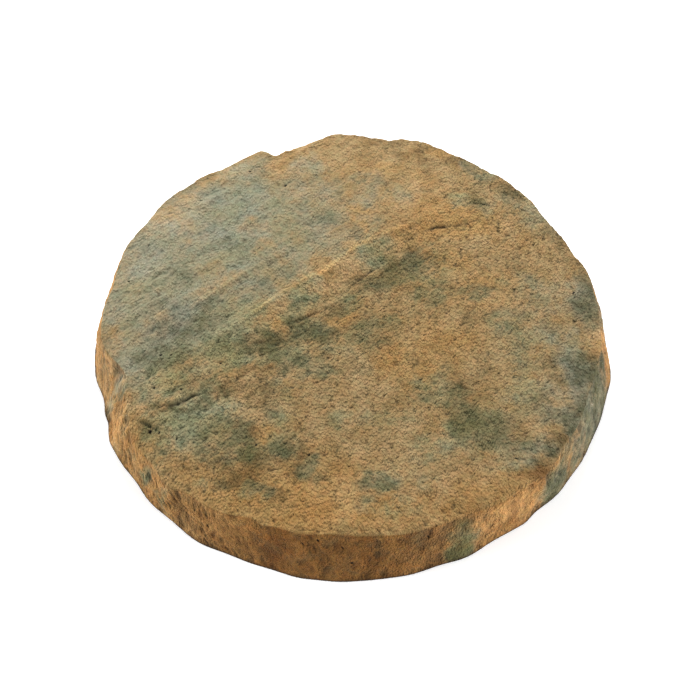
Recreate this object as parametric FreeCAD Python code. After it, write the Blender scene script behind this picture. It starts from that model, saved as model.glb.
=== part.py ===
"""Round garden stepping stone: one piece of cast concrete with a riven stone face.

The stone lies on its flat base. Its wall leans in from the base to the top rim, with shallow waves
and broken-out chips. The top face is cleft like natural stone: a plateau at the back left ends in a
diagonal ledge, with a trough at the ledge's foot and a lower field in front. Smaller ledges and
shallow hollows break up both levels, and the whole face falls away towards the rim.

Millimetres and degrees. The origin is the middle of the base, +Z is up and +Y points to the back.
"""

import FreeCAD
import Part
import math
import os

# Overall sizes
BASE_DIAMETER = 400.0
THICKNESS = 40.0  # base to the lower field of the top face
EDGE_BATTER = 10.0  # how far the wall leans in between the base and the top rim
WALL_BULGE = 1.5  # how far the middle of the wall stands out of a straight batter
EDGE_FALL = 2.2  # how far the top face falls towards its rim
EDGE_FALL_WIDTH = 26.0

# Main ledge across the top face, with its high side to the left of its bearing
LEDGE_X = -26.0  # middle of the ledge
LEDGE_Y = 32.0
LEDGE_BEARING = 38.0  # direction that the ledge runs in, from +X towards +Y
LEDGE_LENGTH = 250.0
LEDGE_HEIGHT = 3.2
LEDGE_FACE = 15.0  # width of its sloping face, in plan
PLATEAU_DEPTH = 150.0  # from the ledge back to where the plateau has sunk to the field
TROUGH_DEPTH = 1.4
TROUGH_WIDTH = 62.0

# Smaller ledges: (x, y, bearing, length, height, width of the face, depth of the plateau behind)
SMALL_LEDGES = [
    (-100.0, 26.0, 35.0, 200.0, 2.0, 22.0, 60.0),
    (-115.0, -74.0, 14.0, 100.0, 1.6, 8.0, 40.0),
    (-150.0, -94.0, -22.0, 56.0, 1.2, 8.0, 26.0),
    (-60.0, -18.0, 26.0, 110.0, 1.4, 10.0, 32.0),
    (18.0, 20.0, 17.0, 130.0, 1.2, 9.0, 30.0),
    (76.0, 94.0, 8.0, 90.0, 1.4, 7.0, 30.0),
    (-112.0, -128.0, 12.0, 70.0, 1.0, 8.0, 24.0),
    (103.0, 118.0, -6.0, 50.0, 0.8, 7.0, 24.0),
]
LEDGE_FADE_SHARE = 0.3  # of a ledge's length, where it dies out at each end

# Shallow hollows: (x, y, half length, half width, bearing, depth), where a negative depth is a swelling
HOLLOWS = [
    (70.0, -70.0, 110.0, 70.0, 20.0, 1.2),
    (-20.0, 150.0, 80.0, 34.0, 8.0, 1.0),
    (125.0, 70.0, 70.0, 45.0, -40.0, 0.9),
    (-60.0, -105.0, 55.0, 35.0, -15.0, 0.8),
    (20.0, -140.0, 90.0, 40.0, 5.0, -0.9),
    (110.0, 10.0, 60.0, 36.0, 25.0, -0.8),
]

# Waves round the wall: (count in one turn, height, phase)
WALL_WAVES = [
    (7, 0.7, 40.0),
    (19, 0.5, 200.0),
    (31, 0.4, 310.0),
]

# Chips: (bearing of the deepest point, reach clockwise of it, reach anticlockwise of it, depth).
# The reaches are lengths along the rim, and a negative depth is a stretch that stands proud.
RIM_CHIPS = [
    (20.0, 16.0, 16.0, 1.5),
    (31.0, 45.0, 40.0, 3.8),
    (53.0, 20.0, 20.0, 1.5),
    (74.0, 42.0, 42.0, -4.0),
    (80.0, 8.0, 6.0, 1.4),
    (93.0, 34.0, 16.0, -5.0),
    (110.0, 54.0, 10.0, 10.0),
    (122.0, 30.0, 30.0, 3.5),
    (139.0, 24.0, 30.0, -3.6),
    (157.0, 35.0, 20.0, -1.5),
    (168.0, 28.0, 22.0, 3.6),
    (197.0, 45.0, 60.0, 13.0),
    (228.0, 22.0, 16.0, -5.0),
    (247.0, 14.0, 8.0, 3.0),
    (266.0, 120.0, 120.0, 7.0),
    (295.0, 25.0, 35.0, 3.5),
    (317.0, 30.0, 25.0, -3.0),
    (340.0, 30.0, 20.0, 2.0),
]
BASE_CHIPS = [
    (52.0, 30.0, 40.0, 2.5),
    (112.0, 40.0, 20.0, 4.0),
    (147.0, 25.0, 25.0, 2.0),
    (194.0, 30.0, 18.0, 4.0),
    (200.0, 16.0, 22.0, 4.0),
    (216.0, 25.0, 20.0, 2.0),
    (234.0, 30.0, 45.0, -2.5),
    (267.0, 20.0, 20.0, -1.5),
    (303.0, 40.0, 40.0, 2.5),
    (314.0, 16.0, 34.0, 3.0),
    (350.0, 60.0, 50.0, -2.5),
]

# Fineness of the wall and of the top surface
WALL_FACES = 24
POINTS_PER_FACE = 6  # along each section of a wall face
SECTION_SHARES = (0.0, 1.0 / 3.0, 2.0 / 3.0, 1.0)  # heights of the sections, as shares of the thickness
SURFACE_SPACING = 6.0
CUT_CLEARANCE = 5.0  # how far the cutting shapes reach past the stone

base_radius = BASE_DIAMETER / 2.0
rim_radius = base_radius - EDGE_BATTER


def lobe(reach):
    """A smooth hump: 1 at reach 0, and 0 at reach 1 either way and beyond."""
    if abs(reach) >= 1.0:
        return 0.0
    return math.cos(reach * math.pi / 2.0) ** 2


def ramp(reach):
    """A smooth rise from 0 at reach 0 to 1 at reach 1."""
    clamped = min(max(reach, 0.0), 1.0)
    return clamped * clamped * (3.0 - 2.0 * clamped)


def local(x, y, middle_x, middle_y, bearing):
    """A point's distances along a bearing and to the left of it, from a middle point."""
    angle = math.radians(bearing)
    east, north = x - middle_x, y - middle_y
    along = east * math.cos(angle) + north * math.sin(angle)
    left = north * math.cos(angle) - east * math.sin(angle)
    return along, left


def bite(chips, bearing, radius):
    """How deep the chips cut into a rim of this radius at this bearing."""
    depth = 0.0
    for deepest, clockwise, anticlockwise, chip_depth in chips:
        turn = (bearing - deepest + 180.0) % 360.0 - 180.0
        length = math.radians(turn) * radius
        depth += chip_depth * lobe(length / (anticlockwise if turn > 0.0 else clockwise))
    return depth


def ripple(bearing):
    """Height of the waves round the wall at this bearing."""
    total = 0.0
    for count, height, phase in WALL_WAVES:
        total += height * math.sin(math.radians(count * bearing + phase))
    return total


def wall_radius(bearing, share):
    """Distance from the axis to the wall, at a share of the way up from the base to the rim."""
    at_base = base_radius - bite(BASE_CHIPS, bearing, base_radius)
    at_rim = rim_radius - bite(RIM_CHIPS, bearing, rim_radius)
    batter = at_base + (at_rim - at_base) * share
    bulge = WALL_BULGE * 4.0 * share * (1.0 - share)
    return batter + bulge + ripple(bearing)


def wall_section(share):
    """The closed outline of the wall at one height, in one edge for each face of the wall."""
    count = WALL_FACES * POINTS_PER_FACE
    points = []
    for step in range(count):
        bearing = 360.0 * step / count
        radius = wall_radius(bearing, share)
        angle = math.radians(bearing)
        points.append(FreeCAD.Vector(radius * math.cos(angle), radius * math.sin(angle), share * THICKNESS))
    curve = Part.BSplineCurve()
    curve.interpolate(points, PeriodicFlag=True)
    joins = curve.getKnots()[::POINTS_PER_FACE]
    return Part.Wire([curve.toShape(start, end) for start, end in zip(joins, joins[1:])])


def end_fade(along, length):
    """1 along the middle of a ledge, falling to 0 at its ends."""
    return ramp((0.5 - abs(along) / length) / LEDGE_FADE_SHARE)


def ledge(x, y, middle_x, middle_y, bearing, length, height, face, plateau):
    """Height of a ledge: level in front, a sloping face, and a plateau that sinks back behind."""
    along, behind = local(x, y, middle_x, middle_y, bearing)
    step = ramp(behind / face + 0.5) * lobe(max(behind, 0.0) / plateau)
    return height * step * end_fade(along, length)


def trough(x, y):
    """Depth of the trough along the foot of the main ledge."""
    along, behind = local(x, y, LEDGE_X, LEDGE_Y, LEDGE_BEARING)
    half_width = TROUGH_WIDTH / 2.0
    return TROUGH_DEPTH * lobe((behind + half_width) / half_width) * end_fade(along, LEDGE_LENGTH)


def hollow(x, y, middle_x, middle_y, half_length, half_width, bearing, depth):
    """Depth of one shallow oval hollow."""
    along, left = local(x, y, middle_x, middle_y, bearing)
    return depth * lobe(math.hypot(along / half_length, left / half_width))


def edge_fall(x, y):
    """How far the top face has fallen on its way to the rim."""
    from_rim = rim_radius - math.hypot(x, y)
    return EDGE_FALL * max(1.0 - from_rim / EDGE_FALL_WIDTH, 0.0) ** 2


def top_height(x, y):
    """Height of the top face over the base."""
    main_ledge = (LEDGE_X, LEDGE_Y, LEDGE_BEARING, LEDGE_LENGTH, LEDGE_HEIGHT, LEDGE_FACE, PLATEAU_DEPTH)
    raised = sum(ledge(x, y, *sizes) for sizes in (main_ledge, *SMALL_LEDGES))
    sunk = trough(x, y) + sum(hollow(x, y, *sizes) for sizes in HOLLOWS) + edge_fall(x, y)
    return THICKNESS + raised - sunk


def top_grid():
    """Points of the top face on a square grid that reaches past the base."""
    half_side = base_radius + CUT_CLEARANCE
    steps = math.ceil(2.0 * half_side / SURFACE_SPACING)
    places = [half_side * (2.0 * step / steps - 1.0) for step in range(steps + 1)]
    return [[FreeCAD.Vector(x, y, top_height(x, y)) for y in places] for x in places]


def stepping_stone():
    """The lofted wall, cut off by the top surface, with its outline centred on the origin."""
    grid = top_grid()
    highest = max(point.z for row in grid for point in row) + CUT_CLEARANCE
    shares = (*SECTION_SHARES, highest / THICKNESS)
    wall = Part.makeLoft([wall_section(share) for share in shares], True)
    top_surface = Part.BSplineSurface()
    top_surface.interpolate(grid)
    space_above = top_surface.toShape().extrude(FreeCAD.Vector(0.0, 0.0, highest))
    stone = wall.cut(space_above)
    middle = stone.optimalBoundingBox().Center
    stone.translate(FreeCAD.Vector(-middle.x, -middle.y, 0.0))
    return stone


def main():
    os.makedirs("parts", exist_ok=True)
    stone = stepping_stone()
    stone.exportStep("parts/stepping_stone.step")
    box = stone.optimalBoundingBox()
    print(f"stepping_stone: {box.XLength:.1f} x {box.YLength:.1f} x {box.ZLength:.1f} mm")
    print(f"volume {stone.Volume / 1e6:.3f} litres, {len(stone.Solids)} solid, valid {stone.isValid()}")


main()
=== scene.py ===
"""Looks of the round garden stepping stone: a riven concrete skin with stains, and its light and camera.

The skin is draped over the solid, then gets the relief that is too fine for it. Lists of places are
in millimetres and degrees, in the part's own frame, and bearings turn from +X towards +Y.
"""

import bpy
import math
import numpy as np
from mathutils import Matrix, Vector, noise
from mathutils.bvhtree import BVHTree


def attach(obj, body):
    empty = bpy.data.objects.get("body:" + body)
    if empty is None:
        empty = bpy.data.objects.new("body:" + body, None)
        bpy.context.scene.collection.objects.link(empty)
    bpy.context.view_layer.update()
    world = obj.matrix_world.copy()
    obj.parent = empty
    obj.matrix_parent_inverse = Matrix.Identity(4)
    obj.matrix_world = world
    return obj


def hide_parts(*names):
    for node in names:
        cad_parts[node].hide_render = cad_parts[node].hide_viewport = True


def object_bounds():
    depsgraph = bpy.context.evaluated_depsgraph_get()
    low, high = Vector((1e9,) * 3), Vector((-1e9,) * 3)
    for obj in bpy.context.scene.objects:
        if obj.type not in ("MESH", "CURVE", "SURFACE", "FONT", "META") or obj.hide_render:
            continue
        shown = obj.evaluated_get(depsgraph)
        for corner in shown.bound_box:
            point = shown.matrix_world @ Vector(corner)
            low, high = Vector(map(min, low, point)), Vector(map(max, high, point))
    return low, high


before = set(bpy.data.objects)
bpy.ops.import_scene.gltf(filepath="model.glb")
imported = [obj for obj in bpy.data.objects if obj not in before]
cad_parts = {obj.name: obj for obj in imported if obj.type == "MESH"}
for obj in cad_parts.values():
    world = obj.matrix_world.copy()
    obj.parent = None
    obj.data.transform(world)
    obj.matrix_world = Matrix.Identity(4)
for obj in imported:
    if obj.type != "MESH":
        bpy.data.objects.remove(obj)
cad_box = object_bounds()

MM = 0.001
NODE = "stepping_stone"

# Camera, with its distance and aim in metres
LENS_MM = 85.0
CAMERA_ELEVATION = 55.2
CAMERA_DISTANCE = 1.293
CAMERA_AIM = (-0.0014, 0.0016, 0.0)

# Light
LIGHT_LEVEL = 1.59  # how much brighter than its own colour a level surface shows in the studio light
WORLD_STRENGTH = 0.35
AREA_LIGHTS = [  # (name, place in metres, size in metres, power in watts)
    ("key", (0.0, 1.45, 1.05), 0.6, 54.0),
    ("left", (-1.2, -0.2, 0.4), 0.7, 15.0),
    ("right", (1.0, -0.65, 0.35), 0.7, 14.0),
]

# Floor, in metres
FLOOR_SIZE = 8.0
FLOOR_GAP = 0.0002  # between the floor and the base of the stone
FLOOR_WHITE = (0.93, 0.93, 0.93, 1.0)
FLOOR_GLOW = 0.37  # emission, so that the floor shows as white as in the photo

# Colours of the stone in the studio light, from 0 to 255. The stone drifts between the two of a pair.
SAND = [(158, 127, 79), (180, 152, 107)]
ORANGE = [(164, 123, 66), (185, 147, 90)]
OCHRE = [(166, 121, 66), (189, 145, 89)]
# browner wall in front, darkened by painted shade
SHADED_BROWN = [(123, 81, 32), (155, 109, 53)]
OLIVE = [(151, 148, 104), (146, 149, 118)]
SLATE = [(152, 150, 119), (148, 150, 131)]
RUST = (126, 84, 42)
# painted shade in the creases
CREASE_SHADE = (50, 36, 18)
# painted shade inside the pinholes
PINHOLE_SHADE = (20, 16, 10)
# painted contact shade along the foot of the wall
FOOT_SHADE = (44, 30, 15)

# Factors on the stone's colour
# damp stain, with painted shade in grooves and hollows
DAMP_AND_SHADE = (0.44, 0.42, 0.32, 1.0)
# bloom and wear, with painted light on rims and bevels that face the lamps
BLOOM_AND_HIGHLIGHT = (1.38, 1.34, 1.40, 1.0)
# painted highlight along the crests
CREST_HIGHLIGHT = (1.38, 1.36, 1.31, 1.0)
GREENISH = (0.95, 1.014, 0.99, 1.0)
REDDISH = (1.06, 0.982, 0.96, 1.0)

# Fineness of the material's noises, in lumps per metre
TAN_DRIFT = 42.0
STAIN_DRIFT = 40.0
MOTTLE = 75.0
TINT_DRIFT = 210.0
SHARPNESS_DRIFT = 130.0
GRAINS = 400.0
GRAIN_PITS = 420.0
GRAIN_SQUEEZE = (1.5, 1.0, 1.5)  # in each axis, so that grains are longest from front to back
GRAIN_DEPTH = 0.0023  # metres

# Measuring the solid
RAY_START = 500.0  # well outside the stone
WALL_PROBES = (26.0, 34.0)  # heights that give the slope of the wall below its rim
RIM_INSET = 0.4  # how far inside the rim the top's height is read
RIM_ROUNDS = 6  # of the search for the rim's corner

# Skin mesh
GRID_CELLS = 220  # along each side of the grid that covers the middle of the top
INNER_RADIUS = 163.0  # of that grid, where the rows round it begin
TOP_ROWS = 17  # from the grid out to the rim
RIM_ROWS = 4  # round the rim
WALL_ROWS = 27
FOOT_ROUND = 1.0  # rounding between the wall and the base
FOOT_MIDDLE = 0.3  # how far in and up the middle of that rounding lies, as a share of it
BASE_RING_SHARES = (0.97, 0.6)  # radii of the rings under the stone, as shares of the foot's radius

# Rim
RIM_SOFTNESS = 1.5  # where nothing else is said
SOFT_RIMS = [  # softer stretches: (bearing, half length in degrees, added softness)
    (210.0, 24.0, 3.5),
    (309.0, 26.0, 4.5),
    (345.0, 18.0, 2.0),
    (110.0, 14.0, 2.0),
]
RIM_CHANGE = 0.6  # share of the softness that comes and goes along the rim
RIM_CHANGE_SIZE = 14.0
RIM_RADIUS = 190.0  # about

# Relief of the top face. A size is that of one lump, in each axis or all.
GRAIN_BEARING = 38.0  # streaks of the split stone run along the main ledge
STREAK_SIZE = (44.0, 7.0, 40.0)  # along the streaks, across them and upwards
STREAK_HEIGHT = 0.8
STREAK_START = (-60.0, 20.0)  # distances across the streaks between which they take over from the ripples
RIPPLE_SIZE = (14.0, 9.0, 20.0)
RIPPLE_HEIGHT = 0.5
SWELL_SIZE = 34.0
SWELL_HEIGHT = 0.4
TOP_GRAIN = [(8.0, 0.30, 2.0), (4.2, 0.52, 9.0), (2.8, 0.42, 4.0)]  # (size, height, offset of the noise)
PIT_SIZE = 4.4
PIT_DEPTH = 0.8
PLATEAU_START = 46.0  # from the middle of the stone to the top of the main ledge, across the streaks
PLATEAU_BLEND = (-10.0, 30.0)  # distances behind that start between which the face gets smoother
SMOOTHEST = 0.7  # roughness of the plateau, as a share of the rest
PINHOLE_DEPTH = 1.6  # in radii of the pinhole
TOP_INSET = 0.6  # how far the skin's mean level lies inside the solid, to leave room for the relief

# Relief of the wall
FLUTES = [((15.0, 15.0, 30.0), 7.0), ((5.5, 5.5, 9.5), 19.0)]  # (size, offset of the noise)
FLUTE_HEIGHT = 1.6
FLUTE_LEVEL = 0.25  # about the mean of the noise without its sign, so that the flutes keep the wall's level
FLUTE_WANDER = 5.0  # how far the flutes are moved aside by another noise
FLUTE_WANDER_SIZE = 20.0
WALL_GRAIN = [(15.0, 0.7, 8.0), (5.0, 0.45, 6.0), (2.8, 0.35, 12.0)]  # (size, height, offset of the noise)
WALL_INSET = 1.2
WALL_MIDDLE = 195.0  # radius at half height

# Flutes of the wall at some bearings: how far they lean in a millimetre of height, and how strong they are
WALL_BEARINGS = (0.0, 90.0, 180.0, 205.0, 235.0, 250.0, 270.0, 284.0, 300.0, 330.0, 360.0)
WALL_SLANT = (-0.2, 0.0, 0.2, 0.3, 0.4, 0.3, 0.0, -0.4, -0.6, -0.4, -0.2)
WALL_LIVELINESS = (1.0, 0.9, 1.0, 1.6, 1.5, 1.0, 0.8, 0.9, 1.1, 1.1, 1.0)

# Ranges over which one look takes over from another
WALL_TILT = (0.90, 0.65)  # upward part of the normal, from the top face to the wall
RELIEF_START = (0.2, 4.0)  # heights over the base where the wall's relief sets in
FOOT_SHADE_HEIGHTS = (0.8, 3.2)  # over the base, where the painted contact shade along the foot ends
FRONT_START = (229.0, 254.0)  # bearings of the wall in front, browner and darkened by painted shade
FRONT_END = (275.0, 299.0)
SLATE_START = (100.0, 165.0)  # x where the stain gets greyer towards the right

# Creases and crests wander off their paths and get lower in places
PATH_WANDER = 1.6
PATH_WANDER_SIZE = 16.0
PATH_LOWEST = 0.5  # share of the full height or depth
PATH_BREAK_SIZE = 22.0

# Patches of stain, and of painted light and shade: where a patch starts to fade and where it ends, in half
# sizes of the patch, and the noises that make its outline ragged (reach, size, offset of the noise)
PATCH_EDGE = (0.45, 1.45)
RAGGEDNESS = [(7.0, 22.0, 31.0), (4.0, 8.0, 53.0)]

# Creases: (points along the crease, width, depth)
CREASES = [
    ([(52, 87), (60, 90), (70, 93), (82, 95), (96, 98)], 1.6, 1.7),
    ([(-158, -70), (-147, -75), (-134, -77), (-126, -75), (-117, -69), (-108, -65), (-97, -67)], 1.8, 1.6),
    ([(-158, -89), (-150, -92), (-145, -95), (-139, -98)], 1.6, 1.5),
    ([(-128, -127), (-116, -131), (-101, -128)], 2.0, 1.0),
    ([(-52, -3), (-40, 2), (-30, 6), (-20, 12)], 2.4, 1.4),
    ([(-82, -20), (-66, -19), (-50, -17)], 2.4, 1.2),
    ([(-24, 16), (-14, 24), (-4, 30), (6, 42), (20, 52), (32, 68)], 1.8, 1.1),
    ([(92, 116), (101, 118), (112, 116)], 1.8, 1.0),
    ([(-165, 10), (-150, 16), (-135, 22)], 2.0, 0.8),
    ([(-160, 42), (-140, 48), (-122, 56)], 2.2, 0.8),
]

# Sharp crests, steep to the right of their path: (points along the crest, width, height)
CRESTS = [
    (
        [
            (-90, -8), (-73, 7), (-56, 23), (-39, 37), (-21, 46),
            (-10, 57), (2, 68), (14, 76), (32, 88), (50, 97),
        ],
        6.0,
        1.5,
    ),
    ([(-128, 8), (-105, 27), (-85, 42), (-60, 60), (-45, 68)], 5.0, 0.8),
    ([(-172, -20), (-150, 2), (-132, 18), (-112, 34)], 4.0, 0.6),
    ([(-148, -70), (-134, -72), (-124, -70), (-112, -63)], 5.0, 1.0),
    ([(-128, -118), (-112, -120), (-98, -116)], 4.0, 0.7),
    ([(-160, 82), (-140, 92), (-124, 104)], 5.0, 0.6),
    ([(-165, 46), (-148, 52), (-128, 52)], 4.0, 0.6),
]

# Pinholes: (x, y, radius)
PINHOLES = [
    (-54, 137, 1.3), (172, 28, 1.2), (-143, -30, 1.1), (-136, -30, 0.9), (-147, -60, 1.1),
    (-127, -62, 1.1), (-147, -97, 1.4), (-141, -99, 1.0), (-69, -108, 1.0), (-113, 138, 0.9),
    (-121, 121, 0.8), (-31, -118, 0.9), (-174, 40, 0.9), (-127, -104, 0.9), (119, -121, 0.9),
    (-83, 152, 1.0), (55, -12, 0.8), (-98, -38, 0.8),
]
WALL_PINHOLES = [  # (bearing, height, radius)
    (262.6, 33, 1.2), (270.1, 17, 1.2), (268.0, 28, 0.9), (238.0, 20, 1.0), (286.6, 30, 0.9),
    (259.5, 30, 0.8),
]

# Patches are (x, y, half length, half width, bearing, strength)
STAINS = [  # grey-green stain
    (-128, 62, 72, 66, 60, 0.80), (-118, -6, 72, 40, 30, 0.80), (-58, 102, 52, 40, 30, 0.65),
    (-90, 120, 28, 22, 0, 0.9), (-95, 78, 14, 26, 0, 0.8), (-150, 52, 24, 18, 0, 0.6),
    (-115, 122, 18, 14, 45, 0.7), (-88, 152, 20, 13, 20, 0.7), (-175, 12, 20, 18, 0, 0.6),
    (-132, -5, 28, 18, 20, 0.8), (-145, -30, 26, 18, 20, 0.9), (-85, -30, 12, 9, 0, 0.8),
    (-80, 58, 16, 12, 36, 0.6), (-40, 62, 14, 14, 36, 0.7), (-37, 20, 13, 16, 30, 0.65),
    (-30, -8, 17, 11, 15, 0.75), (-45, -30, 15, 12, 0, 0.8), (-62, -26, 28, 12, 10, 0.55),
    (-50, 48, 18, 11, 36, 0.3), (14, 95, 9, 10, 0, 0.3), (8, 83, 9, 8, 0, 0.45),
    (-33, 38, 10, 9, 36, 0.5), (-16, 61, 12, 7, 36, 0.5), (-20, 90, 20, 24, 0, 0.35),
    (-30, 155, 12, 13, 0, 0.5), (15, 142, 16, 8, 0, 0.4), (12, 124, 12, 13, 0, 0.5),
    (36, 128, 10, 8, 0, 0.35), (-15, 135, 10, 7, 0, 0.35), (105, 150, 9, 14, 0, 0.5),
    (110, 115, 14, 10, 0, 0.45), (142, 112, 34, 14, -50, 0.5), (45, 54, 28, 14, 20, 0.55),
    (15, 62, 12, 14, 0, 0.65), (26, 74, 12, 8, 30, 0.4), (62, 74, 8, 6, 0, 0.3),
    (28, 40, 24, 9, 15, 0.5), (60, 24, 12, 9, 0, 0.6), (95, 27, 15, 6, 0, 0.45),
    (62, 40, 10, 7, 0, 0.35), (-40, 0, 12, 7, 25, 0.6), (-4, 20, 16, 8, 25, 0.5),
    (15, -5, 20, 9, 15, 0.5), (0, -20, 24, 10, 10, 0.45), (115, 0, 15, 14, 0, 0.5),
    (150, 18, 20, 26, 0, 0.3), (-24, -42, 14, 10, 0, 0.4), (160, -18, 16, 12, 0, 0.4),
    (-115, -75, 23, 14, 10, 0.8), (-128, -96, 27, 16, -10, 0.70), (-103, -90, 30, 18, 0, 0.65),
    (-140, -62, 22, 12, 0, 0.55), (-102, -56, 14, 8, 15, 0.5), (-52, -58, 13, 16, 0, 0.25),
    (-47, -42, 12, 10, 0, 0.2), (-80, -100, 14, 13, 0, 0.6), (-77, -119, 14, 9, 0, 0.75),
    (-49, -107, 12, 10, 0, 0.5), (-31, -128, 8, 12, 0, 0.8), (-70, -148, 14, 6, 20, 0.6),
    (-107, -115, 18, 9, 0, 0.4), (-140, -120, 8, 12, 0, 0.4), (-55, -85, 12, 10, 0, 0.5),
    (-10, -88, 12, 10, 0, 0.35), (24, -86, 18, 9, 0, 0.3), (95, -92, 25, 17, 0, 0.8),
    (84, -72, 13, 13, 0, 0.5), (58, -64, 20, 11, 0, 0.45), (105, -110, 22, 11, 0, 0.3),
    (135, -110, 16, 9, 0, 0.7), (122, -124, 16, 6, 15, 0.55), (60, -112, 20, 10, 20, 0.45),
    (20, -141, 14, 7, 0, 0.8), (55, -140, 9, 6, 0, 0.35), (140, -68, 22, 14, 0, 0.4),
    (120, -60, 16, 14, 0, 0.35), (150, -85, 26, 8, 0, 0.55), (178, 22, 13, 24, 0, 0.9),
    (172, -42, 15, 19, 0, 1.0), (166, -90, 13, 13, 0, 0.95), (172, -65, 11, 15, 0, 0.8),
    (58, -50, 14, 8, 40, 0.5), (128, -38, 26, 12, -20, 0.4), (-60, -105, 10, 8, 0, 0.5),
    (85, -95, 16, 10, 0, 0.4), (65, 46, 12, 8, 30, 0.4), (-102, 62, 12, 9, 0, 0.5),
    (-40, 160, 14, 10, 0, 0.5), (138, -15, 20, 10, 0, 0.5), (168, -18, 8, 9, 0, 0.6),
    (138, -108, 10, 8, 0, 0.5), (85, 121, 12, 9, 0, 0.5), (95, 157, 10, 8, 0, 0.5),
    (-58, 102, 12, 8, 30, 0.4), (-72, 50, 10, 7, 36, 0.4), (-148, 84, 12, 8, 0, 0.5),
    (-136, -38, 9, 14, 0, 0.5), (-88, -40, 7, 17, 0, 0.4), (-143, -84, 10, 7, 0, 0.4),
    (-62, -108, 13, 6, 35, 0.5), (-98, -140, 12, 7, 0, 0.4), (25, -160, 22, 10, 0, 0.3),
    (130, 38, 22, 8, -10, 0.3),
]
TAN_ISLANDS = [  # where the stain has stayed off the tan
    (-142, 110, 24, 8, 48, 0.5), (-68, 72, 10, 6, 36, 0.4), (-60, 8, 16, 6, 45, 0.8),
    (-110, 46, 14, 7, 36, 0.4), (-8, 47, 22, 8, 38, 0.85), (-84, -52, 14, 7, 15, 0.5),
    (-105, 30, 24, 8, 36, 0.5), (-85, 26, 14, 6, 36, 0.3), (-122, -40, 14, 8, 20, 0.5),
    (-70, -98, 9, 8, 0, 0.9), (-122, -126, 14, 8, 0, 0.7), (146, -102, 8, 7, 0, 0.8),
    (108, -40, 12, 14, 0, 0.7), (95, -68, 8, 9, 0, 0.6), (-78, 90, 10, 9, 0, 0.5),
    (-130, 88, 12, 8, 20, 0.4), (-150, -5, 16, 9, 30, 0.4), (-80, -86, 16, 8, 0, 0.4),
    (-36, -106, 9, 9, 0, 0.5), (45, 82, 12, 12, 0, 0.9), (2, -34, 10, 9, 0, 0.8),
    (-18, 14, 14, 6, 30, 0.5), (157, -4, 9, 9, 0, 0.5), (182, -30, 7, 8, 0, 0.6),
    (162, 33, 9, 7, 0, 0.5), (130, 112, 16, 7, -50, 0.6),
]
WARMS = [  # orange-brown tan
    (85, 96, 38, 16, 6, 0.9), (68, 112, 22, 14, 0, 0.6), (76, 62, 18, 12, 0, 0.7),
    (5, 100, 10, 16, 0, 0.6), (60, -28, 40, 26, 20, 0.6), (40, -42, 22, 18, 0, 0.5),
    (78, -14, 14, 14, 0, 0.5), (100, 30, 26, 22, 0, 0.4), (-50, -6, 16, 10, 30, 0.5),
    (-10, 4, 16, 8, 30, 0.6), (28, 150, 14, 12, 0, 0.5), (58, 146, 12, 10, 0, 0.5),
    (70, 176, 12, 8, -20, 0.8), (-20, -150, 60, 34, 0, 0.6), (-70, -160, 70, 30, -20, 0.9),
    (92, -156, 34, 16, 30, 0.7), (125, -138, 22, 12, 40, 0.7), (30, -178, 90, 24, 0, 0.5),
    (-65, -98, 9, 8, 0, 0.6), (-150, -110, 16, 30, 30, 0.5), (184, -28, 8, 8, 0, 0.7),
    (-25, -112, 12, 16, 0, 0.4), (-165, -92, 16, 12, 0, 0.4), (45, 82, 12, 12, 0, 0.7),
]
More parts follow.
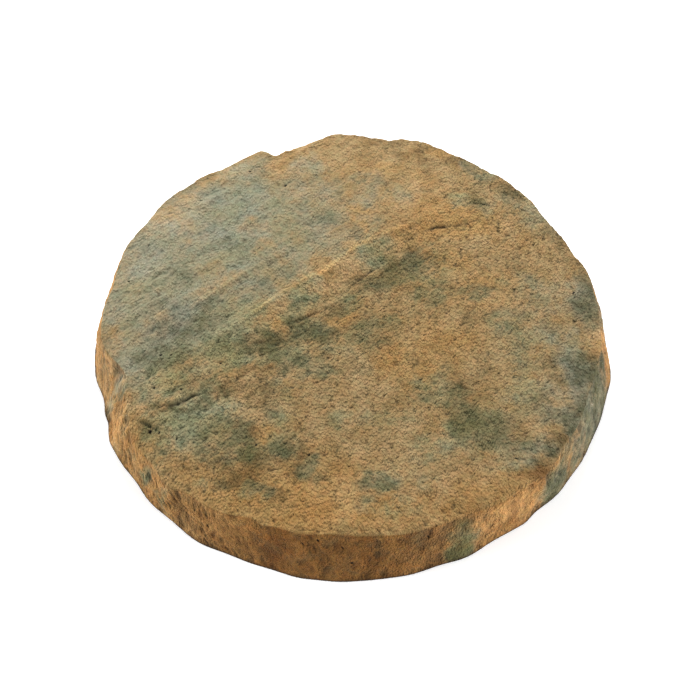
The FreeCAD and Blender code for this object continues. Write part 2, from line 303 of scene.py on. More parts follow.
DARKS = [  # darker places: damp stain, and painted shade in grooves and hollows along the ledges
    (-66, -20, 30, 9, 10, 0.9), (-40, 0, 13, 6, 25, 1.0), (-28, -10, 17, 9, 10, 0.9),
    (-12, 12, 14, 7, 40, 0.7), (22, 40, 24, 12, 25, 0.9), (45, 55, 25, 14, 20, 0.85),
    (45, 76, 15, 8, 45, 0.2), (60, 22, 11, 7, 0, 0.7), (95, 28, 13, 6, 0, 0.6),
    (-40, 14, 14, 6, 10, 0.4), (-48, -36, 16, 12, 0, 0.8), (-18, -38, 20, 16, 0, 0.4),
    (15, -12, 18, 14, 0, 0.55), (-5, -10, 22, 14, 0, 0.4), (-100, -66, 25, 6, 25, 0.8),
    (-135, -78, 17, 4, 0, 0.8), (-146, -95, 15, 5, -25, 0.6), (-80, -96, 11, 9, 0, 0.9),
    (-75, -122, 13, 12, 0, 1.0), (-50, -108, 9, 8, 0, 0.8), (-84, -138, 18, 10, 0, 0.8),
    (-35, -122, 8, 13, 0, 0.9), (-94, -108, 28, 18, 0, 0.65), (-65, -146, 9, 6, 0, 0.7),
    (-118, -90, 24, 16, 0, 0.15), (-138, -118, 6, 10, 0, 0.4), (-65, -70, 13, 20, 0, 0.55),
    (-115, -58, 24, 8, 25, 0.7), (-74, -46, 14, 10, 0, 0.5), (100, -95, 25, 16, 0, 0.9),
    (82, -74, 12, 26, 0, 0.75), (52, -64, 14, 9, 0, 0.5), (60, -46, 10, 10, 0, 0.3),
    (146, -110, 12, 11, 0, 0.9), (130, -128, 15, 6, 20, 0.7), (128, -110, 16, 10, 0, 0.5),
    (166, -90, 14, 12, 0, 0.9), (176, -44, 13, 18, 0, 1.0), (183, 20, 10, 18, 0, 1.0),
    (176, -72, 14, 20, 0, 0.8), (175, 14, 12, 16, 0, 0.8), (182, 32, 10, 20, 10, 0.7),
    (128, 132, 14, 6, -45, 0.9), (100, 155, 8, 8, 0, 0.6), (170, 78, 16, 8, -70, 0.5),
    (102, 118, 12, 7, 0, 0.6), (18, 142, 14, 6, 0, 0.4), (50, 165, 12, 8, 0, 0.3),
    (95, 4, 16, 8, 0, 0.35), (18, -142, 14, 6, 0, 0.75), (55, -146, 9, 5, 0, 0.3),
    (-52, -154, 10, 8, 0, 0.5), (-125, -6, 44, 13, 36, 0.65), (-142, -36, 20, 12, 20, 0.65),
    (-106, -22, 26, 14, 30, 0.3), (-146, 11, 18, 9, 20, 0.6), (-66, 30, 16, 10, 36, 0.3),
    (-135, 42, 16, 12, 20, 0.35), (-90, 68, 24, 14, 0, 0.3), (-30, 100, 14, 12, 0, 0.3),
    (155, -48, 12, 12, 0, 0.7), (142, -80, 14, 12, 0, 0.5), (178, -88, 9, 14, 0, 0.6),
    (114, 136, 16, 9, -30, 0.6), (158, 90, 14, 8, -60, 0.7), (124, 58, 12, 12, 0, 0.3),
    (20, 4, 12, 14, 0, 0.35), (60, 38, 12, 9, 0, 0.35), (4, 82, 16, 7, 36, 0.4),
    (-56, -113, 13, 12, 0, 0.7), (-31, -130, 10, 12, 0, 0.7), (-138, -145, 9, 20, 30, 0.5),
    (120, -132, 10, 8, 0, 0.4), (-20, -94, 10, 14, 0, 0.4), (160, -35, 9, 14, 0, 0.25),
    (116, 8, 12, 24, 0, 0.3), (60, 172, 52, 10, -20, 0.35),
]
PALES = [  # paler places: worn or bloomed, and painted light on rims and bevels that face the lamps
    (-14, 44, 28, 8, 38, 1.0), (-58, 3, 18, 10, 35, 1.0), (-140, 106, 30, 12, 42, 0.7),
    (-96, 156, 20, 8, 20, 0.8), (-48, 162, 22, 12, 30, 0.7), (-5, 155, 34, 12, 0, 0.5),
    (60, 122, 40, 14, 0, 0.7), (125, 80, 30, 16, 0, 0.5), (106, 42, 14, 9, 0, 0.6),
    (186, -15, 9, 13, 0, 1.0), (70, -146, 48, 11, 16, 0.8), (-22, -155, 22, 20, 0, 0.6),
    (2, -130, 16, 12, 30, 0.6), (125, -52, 16, 9, 0, 0.5), (55, -2, 12, 9, 0, 0.5),
    (28, -40, 9, 10, 0, 0.4), (138, 118, 12, 5, -50, 0.8), (-168, 50, 18, 8, 10, 0.5),
    (20, -168, 70, 9, 0, 0.5), (136, -146, 8, 20, 70, 0.7), (112, -168, 34, 14, 36, 0.8),
    (194, -12, 7, 22, 0, 0.8), (-55, -184, 16, 12, 20, 0.8), (50, 93, 14, 7, 10, 0.9),
    (83, -169, 10, 8, 0, 0.7), (140, -136, 7, 8, 0, 0.6), (40, -199, 12, 10, 0, 0.7),
    (-135, 95, 14, 12, 0, 0.5), (-150, 50, 10, 10, 0, 0.5), (-110, 30, 20, 8, 45, 0.5),
    (181, -30, 9, 9, 0, 1.0), (-5, 10, 8, 8, 0, 0.5), (-68, -100, 8, 7, 0, 0.8),
    (-83, -56, 9, 9, 0, 0.5), (-180, -80, 8, 14, 0, 0.7),
]
WALL_STAINS = [  # (bearing, half width, height, half height, strength of the stain, strength of the dark)
    (5.0, 14, 32, 16, 0.6, 0.5), (15.0, 10, 34, 12, 0.6, 0.3), (190.0, 22, 20, 40, 0.2, 0.0),
    (197.0, 9, 25, 25, 0.6, 0.0), (210.0, 24, 20, 40, 0.1, 0.0), (220.5, 6, 22, 14, 0.6, 0.3),
    (227.0, 5, 20, 20, 0.3, 0.1), (286.0, 6, 30, 10, 0.15, 0.0), (293.5, 13, 12, 18, 1.0, 1.0),
    (293.5, 10, 30, 12, 0.2, 0.7), (293.0, 9, 9, 9, 0.8, 0.9), (319.5, 16, 14, 20, 1.0, 1.0),
    (324.0, 7, 34, 10, 0.4, 0.3), (328.0, 10, 14, 22, 0.6, 0.3), (340.0, 34, 20, 40, 0.95, 0.7),
    (350.0, 6, 30, 14, 0.8, 0.9),
]
RUSTS = [  # warm brown places
    (128, -134, 13, 6, 20, 0.6), (84, -164, 9, 7, 0, 0.4), (62, -176, 12, 5, 20, 0.7),
    (60, -186, 8, 10, 0, 0.5), (118, -158, 6, 6, 0, 0.5),
]


def srgb(red, green, blue):
    """A colour given in display values from 0 to 255, in the linear values that shaders use."""
    channels = []
    for value in (red, green, blue):
        share = value / 255.0
        channels.append(share / 12.92 if share <= 0.04045 else ((share + 0.055) / 1.055) ** 2.4)
    return (*channels, 1.0)


def stone_colour(red, green, blue):
    """A colour of the stone as the lit scene shows it, in the values of the stone itself."""
    return (*(value / LIGHT_LEVEL for value in srgb(red, green, blue)[:3]), 1.0)


def noise_at(points, size, offset=0.0):
    """Smooth noise, about -1 to 1, at points in millimetres, with lumps of a size in each axis or all.

    The offset picks another stretch of the noise.
    """
    scaled = points / np.asarray(size, float) + offset
    return np.array([noise.noise(Vector(point)) for point in scaled])


def fractal_at(points, size, octaves, offset=0.0):
    """The same with finer lumps added, each octave half as large and half as high."""
    scaled = points / np.asarray(size, float) + offset
    return np.array([noise.fractal(Vector(point), 1.0, 2.0, octaves) for point in scaled])


def smooth_step(values, low, high):
    """0 below low, 1 above high and a smooth rise between them."""
    share = np.clip((values - low) / (high - low), 0.0, 1.0)
    return share * share * (3.0 - 2.0 * share)


def turned(points, bearing):
    """Points with their first axis along a bearing."""
    angle = math.radians(bearing)
    along = points[:, 0] * math.cos(angle) + points[:, 1] * math.sin(angle)
    left = points[:, 1] * math.cos(angle) - points[:, 0] * math.sin(angle)
    return np.column_stack([along, left, points[:, 2]])


# Measuring the solid

def solid_probe():
    """A search tree over the solid's faces, in millimetres."""
    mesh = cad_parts[NODE].data
    vertices = [vertex.co / MM for vertex in mesh.vertices]
    return BVHTree.FromPolygons(vertices, [polygon.vertices[:] for polygon in mesh.polygons])


probe = solid_probe()


def top_height(x, y):
    """Height of the solid's upper side over a point."""
    hit = probe.ray_cast(Vector((x, y, RAY_START)), Vector((0.0, 0.0, -1.0)))[0]
    return hit.z


def wall_radius(angle, height):
    """Distance from the axis to the solid's wall."""
    outward = Vector((math.cos(angle), math.sin(angle), 0.0))
    hit = probe.ray_cast(outward * RAY_START + Vector((0.0, 0.0, height)), -outward)[0]
    return math.hypot(hit.x, hit.y)


def rim_corner(angle):
    """Radius and height of the sharp corner where the top face meets the wall."""
    low, high = WALL_PROBES
    radius_low, radius_high = wall_radius(angle, low), wall_radius(angle, high)
    slope = (radius_high - radius_low) / (high - low)
    radius, height = radius_high, high
    for _ in range(RIM_ROUNDS):
        inset = radius - RIM_INSET
        height = top_height(inset * math.cos(angle), inset * math.sin(angle))
        radius = radius_high + slope * (height - high)
    return radius, height


# Skin of the stone

def disc_grid():
    """A square grid of points pressed into a disc, whose outline is evenly spaced on its circle."""
    steps = np.linspace(-1.0, 1.0, GRID_CELLS + 1)
    points = []
    for b in steps:
        for a in steps:
            if a == 0.0 and b == 0.0:
                radius, angle = 0.0, 0.0
            elif abs(a) > abs(b):
                radius, angle = a, math.pi / 4.0 * b / a
            else:
                radius, angle = b, math.pi / 2.0 - math.pi / 4.0 * a / b
            x = INNER_RADIUS * radius * math.cos(angle)
            y = INNER_RADIUS * radius * math.sin(angle)
            points.append((x, y, top_height(x, y)))
    return points


def grid_faces():
    """The grid's cells, as numbers of their corner points."""
    side = GRID_CELLS + 1
    corners = (0, 1, side + 1, side)
    cells = [row * side + column for row in range(GRID_CELLS) for column in range(GRID_CELLS)]
    return [tuple(cell + corner for corner in corners) for cell in cells]


def grid_outline():
    """Numbers of the grid's outline points, anticlockwise from the bearing of -45 degrees."""
    side = GRID_CELLS + 1
    last = GRID_CELLS
    right = [row * side + last for row in range(last)]
    top = [last * side + column for column in range(last, 0, -1)]
    left = [row * side for row in range(last, 0, -1)]
    bottom = list(range(last))
    return right + top + left + bottom


def rim_softness(angles):
    """Radius of the worn rim at each bearing."""
    bearings = np.degrees(angles)
    softness = np.full(len(angles), RIM_SOFTNESS)
    for bearing, half_length, extra in SOFT_RIMS:
        turn = np.abs((bearings - bearing + 180.0) % 360.0 - 180.0)
        softness += extra * (1.0 - smooth_step(turn, 0.0, half_length))
    circle = np.column_stack([np.cos(angles), np.sin(angles), np.zeros(len(angles))]) * RIM_RADIUS
    return softness * (1.0 + RIM_CHANGE * noise_at(circle, RIM_CHANGE_SIZE, offset=3.7))


def outer_rows(angles):
    """Rows of points from the grid's outline over the rim and down the wall to the base."""
    columns = []
    for angle, softness in zip(angles, rim_softness(angles)):
        corner_radius, corner_height = rim_corner(angle)
        start_radius = corner_radius - softness
        end_height = corner_height - softness
        column = []
        for row in range(1, TOP_ROWS + 1):
            radius = INNER_RADIUS + (start_radius - INNER_RADIUS) * row / TOP_ROWS
            column.append((radius, top_height(radius * math.cos(angle), radius * math.sin(angle))))
        start = np.array(column[-1])
        corner = np.array([corner_radius, corner_height])
        end = np.array([wall_radius(angle, end_height), end_height])
        for row in range(1, RIM_ROWS + 1):
            share = row / (RIM_ROWS + 1)
            column.append(tuple(start * (1 - share) ** 2 + corner * 2 * share * (1 - share) + end * share**2))
        for row in range(WALL_ROWS + 1):
            height = end_height + (FOOT_ROUND - end_height) * row / WALL_ROWS
            column.append((wall_radius(angle, height), height))
        foot = column[-1][0]
        column.append((foot - FOOT_MIDDLE * FOOT_ROUND, FOOT_MIDDLE * FOOT_ROUND))
        column.append((foot - FOOT_ROUND, 0.0))
        column.extend((share * (foot - FOOT_ROUND), 0.0) for share in BASE_RING_SHARES)
        columns.append(column)
    rows = []
    for row in zip(*columns):
        rows.append([(r * math.cos(angle), r * math.sin(angle), z) for angle, (r, z) in zip(angles, row)])
    return rows


def build_skin():
    """The draped skin before its fine relief, as one closed mesh in millimetres."""
    count = 4 * GRID_CELLS
    angles = np.radians(-45.0 + 360.0 * np.arange(count) / count)
    points = disc_grid()
    faces = grid_faces()
    ring = grid_outline()
    for row in outer_rows(angles):
        new_ring = list(range(len(points), len(points) + count))
        points.extend(row)
        for i in range(count):
            j = (i + 1) % count
            faces.append((ring[i], new_ring[i], new_ring[j], ring[j]))
        ring = new_ring
    centre = len(points)
    points.append((0.0, 0.0, 0.0))
    faces.extend((ring[i], centre, ring[(i + 1) % count]) for i in range(count))
    mesh = bpy.data.meshes.new("stone_skin")
    mesh.from_pydata(points, [], faces)
    mesh.validate()
    return mesh


def vertex_values(mesh, name):
    """The places or normals of a mesh's points, one row each."""
    values = np.empty(len(mesh.vertices) * 3)
    mesh.vertices.foreach_get(name, values)
    return values.reshape(-1, 3)


# Fine relief

def path_cover(points, paths, profile):
    """The highest of the ridges or grooves along some paths at each point, whose section is a profile.

    The profile gets the distance to the path in widths, positive to the left of the path.
    """
    cover = np.zeros(len(points))
    wander = np.column_stack([fractal_at(points, PATH_WANDER_SIZE, 3, offset) for offset in (11.0, 23.0)])
    places = points[:, :2] + PATH_WANDER * wander
    strong = smooth_step(noise_at(points, PATH_BREAK_SIZE, offset=37.0), -0.35, 0.25)
    breaks = PATH_LOWEST + (1.0 - PATH_LOWEST) * strong
    for path, width, size in paths:
        path = np.array(path, float)
        steps = np.diff(path, axis=0)
        lengths = np.linalg.norm(steps, axis=1)
        near = np.full(len(points), np.inf)
        side = np.zeros(len(points))
        along = np.zeros(len(points))
        for number, (start, step) in enumerate(zip(path, steps)):
            share = np.clip(((places - start) @ step) / (step @ step), 0.0, 1.0)
            offset = places - start - share[:, None] * step
            distance = np.linalg.norm(offset, axis=1)
            closer = distance < near
            near[closer] = distance[closer]
            side[closer] = np.sign(step[0] * offset[closer, 1] - step[1] * offset[closer, 0])
            along[closer] = np.sum(lengths[:number]) + share[closer] * lengths[number]
        fade = np.sin(np.pi * np.clip(along / np.sum(lengths), 0.0, 1.0)) ** 0.5
        cover = np.maximum(cover, size * fade * breaks * profile(side * near / width))
    return cover


def groove(reach):
    """Section of a crease: rounded at its bottom."""
    return np.exp(-(reach**2))


def crest(reach):
    """Section of a crest: a long back to the left of its line and a steep face to the right."""
    return np.where(reach > 0.0, np.exp(-0.6 * reach), np.exp(3.0 * reach))


def crest_highlight_section(reach):
    """The painted highlight along a crest's edge."""
    return np.exp(-((2.5 * reach - 0.5) ** 2))


def pinhole_depth(points):
    """Depth of the pinholes at each point."""
    depth = np.zeros(len(points))
    places = [(x, y, top_height(x, y), radius) for x, y, radius in PINHOLES]
    for bearing, height, radius in WALL_PINHOLES:
        angle = math.radians(bearing)
        wall = wall_radius(angle, height)
        places.append((wall * math.cos(angle), wall * math.sin(angle), height, radius))
    for *place, radius in places:
        nearest = np.argmin(np.linalg.norm(points - np.array(place), axis=1))
        distance = np.linalg.norm(points - points[nearest], axis=1)
        depth = np.maximum(depth, PINHOLE_DEPTH * radius * np.exp(-((distance / radius) ** 2)))
    return depth


def split_relief(points):
    """Height of the streaks, swellings and crests that splitting leaves on the top face."""
    along_grain = turned(points, GRAIN_BEARING)
    streaks = fractal_at(along_grain, STREAK_SIZE, 3, offset=5.0)
    near_ledge = smooth_step(along_grain[:, 1], *STREAK_START)
    ripples = fractal_at(points, RIPPLE_SIZE, 2, offset=47.0)
    swell = noise_at(points, SWELL_SIZE, offset=1.0)
    lines = STREAK_HEIGHT * near_ledge * streaks + RIPPLE_HEIGHT * (1.0 - near_ledge) * ripples
    return lines + SWELL_HEIGHT * swell + path_cover(points, CRESTS, crest)


def top_roughness(points):
    """How rough the top face is: smoother on the plateau behind the main ledge."""
    behind = turned(points, GRAIN_BEARING)[:, 1] - PLATEAU_START
    return 1.0 - (1.0 - SMOOTHEST) * smooth_step(behind, *PLATEAU_BLEND)


def grain_height(points, grains):
    """Height of lumps, crumbs and grit."""
    return sum(height * noise_at(points, size, offset) for size, height, offset in grains)


def pit_depth(points):
    """Depth of the small pits on the top face."""
    return PIT_DEPTH * smooth_step(noise_at(points, PIT_SIZE, offset=17.0), 0.2, 0.55)


def bearings_of(points):
    """Bearings of points from the axis of the stone, from 0 to 360."""
    return np.degrees(np.arctan2(points[:, 1], points[:, 0])) % 360.0


def wall_flutes(points):
    """Height of the scallops that run down the wall, with sharp arrises between them."""
    bearings = bearings_of(points)
    slant = np.interp(bearings, WALL_BEARINGS, WALL_SLANT)
    lively = np.interp(bearings, WALL_BEARINGS, WALL_LIVELINESS)
    turn = slant * points[:, 2] / WALL_MIDDLE
    x, y, z = points.T
    twisted = np.column_stack([x * np.cos(turn) - y * np.sin(turn), x * np.sin(turn) + y * np.cos(turn), z])
    wander = FLUTE_WANDER * noise_at(points, FLUTE_WANDER_SIZE, offset=41.0)
    twisted += wander[:, None] * np.array([1.0, 1.0, 0.0])
    height = sum(FLUTE_HEIGHT * (FLUTE_LEVEL - np.abs(noise_at(twisted, *flute))) for flute in FLUTES)
    return lively * height


def add_relief(mesh):
    """Moves the skin along its normals by the relief, and keeps the base flat and the outline in the box.

    Gives the heights and shares that the stains follow.
    """
    points = vertex_values(mesh, "co")
    normals = vertex_values(mesh, "normal")
    top_tilt, wall_tilt = WALL_TILT
    wall = smooth_step(-normals[:, 2], -top_tilt, -wall_tilt)
    over_base = smooth_step(points[:, 2], *RELIEF_START)
    rise = split_relief(points)
    creases = path_cover(points, CREASES, groove)
    pinholes = pinhole_depth(points)
    rough = top_roughness(points)
    plateau = (1.0 - rough) / (1.0 - SMOOTHEST)
    top_grain = grain_height(points, TOP_GRAIN) - pit_depth(points)
    top = rise + rough * top_grain - creases - pinholes - TOP_INSET
    flutes = wall_flutes(points)
    wall_grain = grain_height(points, WALL_GRAIN) - WALL_INSET
    relief = (1.0 - wall) * top + wall * (flutes + wall_grain - pinholes)
    moved = points + normals * (relief * over_base)[:, None]
    low, high = (np.array(corner) / MM for corner in cad_box)
    moved = np.clip(moved, low, high)
    mesh.vertices.foreach_set("co", moved.ravel())
    mesh.update()
    bearings = bearings_of(points)
    return {
        "wall": wall,
        "front": smooth_step(bearings, *FRONT_START) * (1.0 - smooth_step(bearings, *FRONT_END)),
        "rise": rise,
        "rough": rough,
        "flute": wall * flutes,
        "slate": np.maximum(plateau, smooth_step(points[:, 0], *SLATE_START)),
        # where the painted highlight runs along the crests
        "crest": path_cover(points, CRESTS, crest_highlight_section) * (1.0 - wall),
        "crease": creases,
        "pinhole": pinholes,
        # where painted contact shade darkens the foot
        "foot": 1.0 - smooth_step(points[:, 2], *FOOT_SHADE_HEIGHTS),
    }


def hollowness(mesh):
    """How far each point lies below the mean of its neighbours, in millimetres."""
    points = vertex_values(mesh, "co")
    normals = vertex_values(mesh, "normal")
    edges = np.empty(len(mesh.edges) * 2, int)
    mesh.edges.foreach_get("vertices", edges)
    edges = edges.reshape(-1, 2)
    total = np.zeros_like(points)
    count = np.zeros(len(points))
    for here, there in (edges.T, edges.T[::-1]):
        np.add.at(total, here, points[there])
        np.add.at(count, here, 1.0)
    return np.sum((total / count[:, None] - points) * normals, axis=1)


# Stains, and painted light and shade

def patch_fade(reach):
    """1 in the middle of a soft-edged patch and 0 outside it. Reach is the distance in half sizes."""
    return 1.0 - smooth_step(reach, *PATCH_EDGE)


def patch_cover(points, patches):
    """How far each point is covered by a list of soft-edged oval patches, from 0 to 1."""
    bare = np.ones(len(points))
    for x, y, half_length, half_width, bearing, strength in patches:
        offset = turned(points - np.array([x, y, 0.0]), bearing)
        reach = np.hypot(offset[:, 0] / half_length, offset[:, 1] / half_width)
        bare *= 1.0 - strength * patch_fade(reach)
    return 1.0 - bare


def wall_cover(points, places, strengths):
    """The same for oval patches on the wall, at places (bearing, half width, height, half height)."""
    bare = np.ones(len(points))
    for (bearing, half_width, height, half_height), strength in zip(places, strengths):
        turn = (bearings_of(points) - bearing + 180.0) % 360.0 - 180.0
        aside = np.radians(turn) * WALL_MIDDLE / half_width
        reach = np.hypot(aside, (points[:, 2] - height) / half_height)
        bare *= 1.0 - strength * patch_fade(reach)
    return 1.0 - bare


def ragged(points):
    """Points moved about by noise, so that patches laid on them get ragged outlines."""
    moved = points.copy()
    for axis in (0, 1):
        for reach, size, offset in RAGGEDNESS:
            moved[:, axis] += reach * noise_at(points, size, offset + 7.0 * axis)
    return moved


def add_attribute(mesh, name, values):
    """Writes one value for each point, under a name that the material reads."""
    layer = mesh.attributes.new(name, "FLOAT", "POINT")
    layer.data.foreach_set("value", np.asarray(values, np.float32))


def paint_stains_and_light(mesh, shares):
    """Writes where the stone is stained, dark with damp stain and painted shade, rusty, warm, pale with bloom
    and painted light, or hollow, and the other shares.
    """
    points = ragged(vertex_values(mesh, "co"))
    wall = shares["wall"]
    places = [patch[:4] for patch in WALL_STAINS]
    top_stain = patch_cover(points, STAINS) * (1.0 - patch_cover(points, TAN_ISLANDS))
    wall_stain = wall_cover(points, places, [patch[4] for patch in WALL_STAINS])
    add_attribute(mesh, "stain", top_stain + wall * (wall_stain - top_stain))
    top_dark = patch_cover(points, DARKS)
    wall_dark = wall_cover(points, places, [patch[5] for patch in WALL_STAINS])
    add_attribute(mesh, "dark", top_dark + wall * (wall_dark - top_dark))
    add_attribute(mesh, "rust", patch_cover(points, RUSTS))
    add_attribute(mesh, "warm", patch_cover(points, WARMS))
    add_attribute(mesh, "pale", patch_cover(points, PALES))
    add_attribute(mesh, "hollow", hollowness(mesh))
    for name, values in shares.items():
        add_attribute(mesh, name, values)


# Concrete

def add_node(tree, kind, inputs, **settings):
    """A new node with its settings, and its inputs set to values or linked to other nodes' outputs."""
    made = tree.nodes.new(kind)
    for name, value in settings.items():
        setattr(made, name, value)
    for socket, value in inputs.items():
        if isinstance(value, bpy.types.NodeSocket):
            tree.links.new(value, made.inputs[socket])
        else:
            made.inputs[socket].default_value = value
    return made


def noise_share(tree, lumps_per_metre, detail=3.0, roughness=0.55, stretch=None):
    """A noise output from 0 to 1, in the part's own frame."""
    place = add_node(tree, "ShaderNodeTexCoord", {}).outputs["Object"]
    if stretch:
        place = add_node(tree, "ShaderNodeMapping", {"Vector": place, **stretch}).outputs["Vector"]
    inputs = {"Vector": place, "Scale": lumps_per_metre, "Detail": detail, "Roughness": roughness}
    return add_node(tree, "ShaderNodeTexNoise", inputs).outputs["Fac"]


def rescaled(tree, value, low, high, to_low, to_high):
    """A value carried from one range to another, and held inside it."""
    inputs = {"Value": value, "From Min": low, "From Max": high, "To Min": to_low, "To Max": to_high}
    return add_node(tree, "ShaderNodeMapRange", inputs).outputs["Result"]


def combined(tree, operation, first, second):
    """Two values put together by a sum or another operation."""
    return add_node(tree, "ShaderNodeMath", {0: first, 1: second}, operation=operation).outputs["Value"]


def mixed(tree, share, first, second, blend="MIX"):
    """Two colours mixed. In this node the sockets 6 and 7 are its colours, and output 2 the result."""
    inputs = {"Factor": share, 6: first, 7: second}
    return add_node(tree, "ShaderNodeMix", inputs, data_type="RGBA", blend_type=blend).outputs[2]


def attribute(tree, name):
    """A value that was written for each point of the skin."""
    return add_node(tree, "ShaderNodeAttribute", {}, attribute_name=name).outputs["Fac"]


def drifting(tree, drift, colours):
    """A colour of the stone that drifts between two colours."""
    first, second = colours
    return mixed(tree, drift, stone_colour(*first), stone_colour(*second))


def tan_colour(tree):
    """Sandy tan with orange places on the top face, ochre on the wall, and brown darkened by painted shade
    along its front.
    """
    drift = rescaled(tree, noise_share(tree, TAN_DRIFT, 5.0, 0.6), 0.36, 0.64, 0.0, 1.0)
    top = mixed(tree, attribute(tree, "warm"), drifting(tree, drift, SAND), drifting(tree, drift, ORANGE))
    # painted shade: the wall is browner and darker along its front
    wall = mixed(tree, attribute(tree, "front"), drifting(tree, drift, OCHRE), drifting(tree, drift, SHADED_BROWN))
    return mixed(tree, attribute(tree, "wall"), top, wall)


def stain_colour(tree):
    """Grey-green stain: olive in front, greyer with bluish places on the plateau and at the right."""
    drift = rescaled(tree, noise_share(tree, STAIN_DRIFT, 4.0, 0.5), 0.36, 0.64, 0.0, 1.0)
    olive = drifting(tree, drift, OLIVE)
    slate = drifting(tree, drift, SLATE)
    return mixed(tree, attribute(tree, "slate"), olive, slate)


def grain_share(tree):
    """Height of the sand grains, from 0 in the pits and gaps between them to about 1 on top."""
    place = add_node(tree, "ShaderNodeTexCoord", {}).outputs["Object"]
    place = add_node(tree, "ShaderNodeMapping", {"Vector": place, "Scale": GRAIN_SQUEEZE}).outputs["Vector"]
    inputs = {"Vector": place, "Scale": GRAINS, "Smoothness": 0.35}
    gaps = add_node(tree, "ShaderNodeTexVoronoi", inputs, feature="SMOOTH_F1").outputs["Distance"]
    grains = rescaled(tree, gaps, 0.0, 0.7, 0.7, 0.0)
    sharpness = rescaled(tree, noise_share(tree, SHARPNESS_DRIFT, 2.0, 0.6), 0.35, 0.65, 0.5, 1.2)
    grains = combined(tree, "MULTIPLY", grains, sharpness)
    pits = noise_share(tree, GRAIN_PITS, 1.0, 0.5, {"Scale": GRAIN_SQUEEZE})
    return combined(tree, "ADD", grains, rescaled(tree, pits, 0.3, 0.55, 0.0, 0.3))


def grain_tint(tree):
    """A faint drift of hue over a few grains, from greenish to reddish."""
    drift = rescaled(tree, noise_share(tree, TINT_DRIFT, 3.0, 0.6), 0.35, 0.65, 0.0, 1.0)
    return mixed(tree, drift, GREENISH, REDDISH)


def breakup_share(tree, mottle):
    """What breaks up stained and dark places: mottling, with more in hollows and less on rises."""
    breakup = rescaled(tree, mottle, 0.3, 0.7, -0.5, 0.5)
    breakup = combined(tree, "ADD", breakup, combined(tree, "MULTIPLY", attribute(tree, "hollow"), 0.5))
    return combined(tree, "SUBTRACT", breakup, combined(tree, "MULTIPLY", attribute(tree, "rise"), 0.15))


def stain_share(tree, breakup):
    """How far the stain covers the tan. It is broken up least where it is faint, full or greyer."""
    patches = attribute(tree, "stain")
    edges = combined(tree, "MULTIPLY", breakup, rescaled(tree, patches, 0.0, 0.35, 0.3, 1.0))
    edges = combined(tree, "MULTIPLY", edges, rescaled(tree, patches, 0.6, 1.0, 1.0, 0.5))
    edges = combined(tree, "MULTIPLY", edges, rescaled(tree, attribute(tree, "slate"), 0.0, 1.0, 1.0, 0.65))
    return rescaled(tree, combined(tree, "ADD", patches, edges), 0.0, 1.0, 0.0, 1.0)


def stained_colour(tree, mottle):
    """Tan with its stained, dark and rusty places; the dark is damp stain and painted shade in grooves and
    hollows.
    """
    breakup = breakup_share(tree, mottle)
    colour = mixed(tree, stain_share(tree, breakup), tan_colour(tree), stain_colour(tree))
    colour = mixed(tree, 1.0, colour, grain_tint(tree), "MULTIPLY")
    # damp stain, and painted shade in grooves and hollows
    dark = rescaled(tree, combined(tree, "ADD", attribute(tree, "dark"), breakup), 0.05, 1.05, 0.0, 1.0)
    colour = mixed(tree, dark, colour, DAMP_AND_SHADE, "MULTIPLY")
    rust = combined(tree, "MULTIPLY", attribute(tree, "rust"), rescaled(tree, mottle, 0.35, 0.6, 0.2, 1.0))
    return mixed(tree, rust, colour, stone_colour(*RUST))


def shaded_colour(tree, colour, grain):
    """Painted shade and highlight: a colour made darker in hollows, between the flutes of the wall and
    between grains, and lighter on bumps, on the ridges of the flutes and on top of grains; between grains it
    is partly the grains' own tone.
    """
    # painted shade in hollows, painted shade and highlight on the flutes, and grain tone with painted shade
    # between grains
    hollows = rescaled(tree, attribute(tree, "hollow"), -0.05, 0.5, 1.06, 0.5)
    flutes = rescaled(tree, attribute(tree, "flute"), -0.8, 0.7, 0.72, 1.25)
    speckle = rescaled(tree, grain, 0.0, 1.0, 0.86, 1.06)
    for shade in (hollows, flutes, speckle):
        colour = mixed(tree, 1.0, colour, shade, "MULTIPLY")
    return colour


def pale_and_painted_light_colour(tree, colour, mottle):
    """A colour with pale places, partly bloom and partly painted light, a painted highlight along the crests,
    painted shade in the creases and pinholes, and painted contact shade along the foot.
    """
    # paler places: bloom and wear, with painted light on rims and bevels that face the lamps
    pale = combined(tree, "MULTIPLY", attribute(tree, "pale"), rescaled(tree, mottle, 0.3, 0.6, 0.3, 1.0))
    colour = mixed(tree, pale, colour, BLOOM_AND_HIGHLIGHT, "MULTIPLY")
    # painted highlight along the crests
    crest_highlight = rescaled(tree, attribute(tree, "crest"), 0.3, 1.1, 0.0, 1.0)
    colour = mixed(tree, crest_highlight, colour, CREST_HIGHLIGHT, "MULTIPLY")
    # painted shade in the creases
    crease = rescaled(tree, attribute(tree, "crease"), 0.4, 1.5, 0.0, 0.4)
    colour = mixed(tree, crease, colour, stone_colour(*CREASE_SHADE))
    # painted shade inside the pinholes
    pinhole = rescaled(tree, attribute(tree, "pinhole"), 0.5, 1.2, 0.0, 1.0)
    colour = mixed(tree, pinhole, colour, stone_colour(*PINHOLE_SHADE))
    # painted contact shade along the foot, where the wall meets the floor
    foot_shade = combined(tree, "MULTIPLY", attribute(tree, "foot"), 0.9)
    return mixed(tree, foot_shade, colour, stone_colour(*FOOT_SHADE))


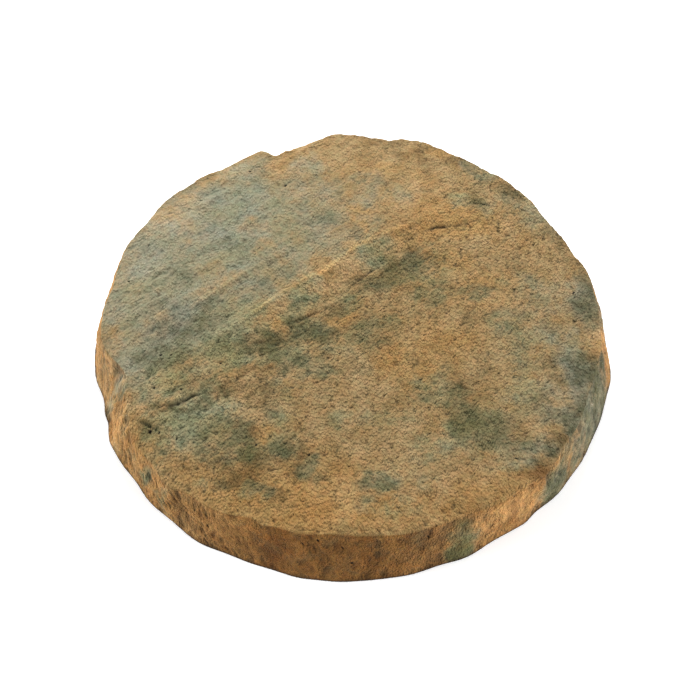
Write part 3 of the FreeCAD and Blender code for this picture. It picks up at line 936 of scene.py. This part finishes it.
def concrete():
    """Riven concrete: tan with mottled stain, painted shade in its pits, and dull all over."""
    material = bpy.data.materials.new("concrete")
    material.use_nodes = True
    tree = material.node_tree
    shader = tree.nodes["Principled BSDF"]
    grain = grain_share(tree)
    mottle = noise_share(tree, MOTTLE, 5.0, 0.55)
    colour = stained_colour(tree, mottle)
    colour = shaded_colour(tree, colour, grain)
    colour = pale_and_painted_light_colour(tree, colour, mottle)
    depth = combined(tree, "MULTIPLY", attribute(tree, "rough"), GRAIN_DEPTH)
    bump = add_node(tree, "ShaderNodeBump", {"Height": grain, "Strength": 1.0, "Distance": depth})
    tree.links.new(colour, shader.inputs["Base Color"])
    tree.links.new(rescaled(tree, grain, 0.0, 1.0, 0.98, 0.86), shader.inputs["Roughness"])
    tree.links.new(bump.outputs["Normal"], shader.inputs["Normal"])
    shader.inputs["Specular IOR Level"].default_value = 0.25
    return material


def add_stone():
    """The dressed stone, in place of the plain solid."""
    mesh = build_skin()
    paint_stains_and_light(mesh, add_relief(mesh))
    mesh.transform(Matrix.Scale(MM, 4))
    mesh.shade_smooth()
    mesh.materials.append(concrete())
    stone = bpy.data.objects.new("riven_stone", mesh)
    bpy.context.scene.collection.objects.link(stone)
    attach(stone, "root")
    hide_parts(NODE)


# Floor, light and camera

def add_floor():
    """A white floor under the stone."""
    bpy.ops.mesh.primitive_plane_add(size=FLOOR_SIZE, location=(0.0, 0.0, -FLOOR_GAP))
    floor = bpy.context.object
    floor.name = "floor"
    paint = bpy.data.materials.new("floor_white")
    paint.use_nodes = True
    shader = paint.node_tree.nodes["Principled BSDF"]
    shader.inputs["Base Color"].default_value = FLOOR_WHITE
    shader.inputs["Roughness"].default_value = 0.9
    shader.inputs["Emission Color"].default_value = (1.0, 1.0, 1.0, 1.0)
    shader.inputs["Emission Strength"].default_value = FLOOR_GLOW
    floor.data.materials.append(paint)


def add_area_light(name, place, size, power):
    """A square light that faces the stone."""
    light = bpy.data.lights.new(name, "AREA")
    light.shape = "SQUARE"
    light.size = size
    light.energy = power
    lamp = bpy.data.objects.new(name, light)
    lamp.location = place
    lamp.rotation_euler = (-Vector(place)).to_track_quat("-Z", "Y").to_euler()
    bpy.context.scene.collection.objects.link(lamp)


def add_camera():
    """The camera in front of the stone, looking down on it as in the photo."""
    data = bpy.data.cameras.new("camera")
    data.lens = LENS_MM
    camera = bpy.data.objects.new("camera", data)
    elevation = math.radians(CAMERA_ELEVATION)
    back = Vector((0.0, -math.cos(elevation), math.sin(elevation)))
    camera.location = Vector(CAMERA_AIM) + CAMERA_DISTANCE * back
    camera.rotation_euler = (-back).to_track_quat("-Z", "Y").to_euler()
    bpy.context.scene.collection.objects.link(camera)
    bpy.context.scene.camera = camera


def add_world():
    """Even white light from all round."""
    world = bpy.data.worlds.new("studio")
    world.use_nodes = True
    backdrop = world.node_tree.nodes["Background"]
    backdrop.inputs["Color"].default_value = (1.0, 1.0, 1.0, 1.0)
    backdrop.inputs["Strength"].default_value = WORLD_STRENGTH
    bpy.context.scene.world = world


add_stone()
add_floor()
add_world()
for light_settings in AREA_LIGHTS:
    add_area_light(*light_settings)
add_camera()
bpy.context.scene.view_settings.view_transform = "Standard"
